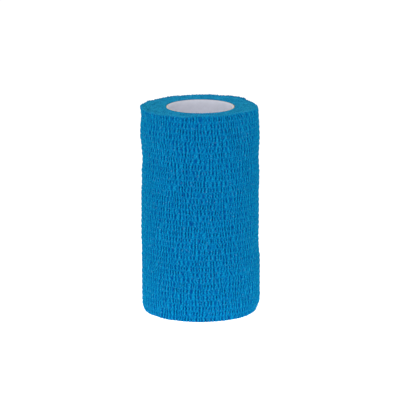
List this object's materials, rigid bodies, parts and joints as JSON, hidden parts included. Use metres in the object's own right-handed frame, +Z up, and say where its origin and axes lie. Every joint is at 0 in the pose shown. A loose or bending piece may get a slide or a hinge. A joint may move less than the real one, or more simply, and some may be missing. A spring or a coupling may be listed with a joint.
{
  "type": "cohesive bandage roll",
  "caption": "Crinkled elastic self-adherent bandage wound tightly on a thin open card tube, standing on one flat end.",
  "frame": {"origin": "the middle of the lower end face, on the roll's axis", "axes": "+Z up along the roll's axis, -Y towards the front, +X to the right as seen from the front; the loose end is at the back right"},
  "size_m": [0.0575, 0.0575, 0.1],
  "materials": {
    "bandage_web": "matte crinkled nonwoven with elastic threads",
    "core_card": "smooth white paper facing, cream cut edge"
  },
  "bodies": {
    "root": {"bandage": "bandage_web", "core": "core_card"}
  },
  "joints": []
}
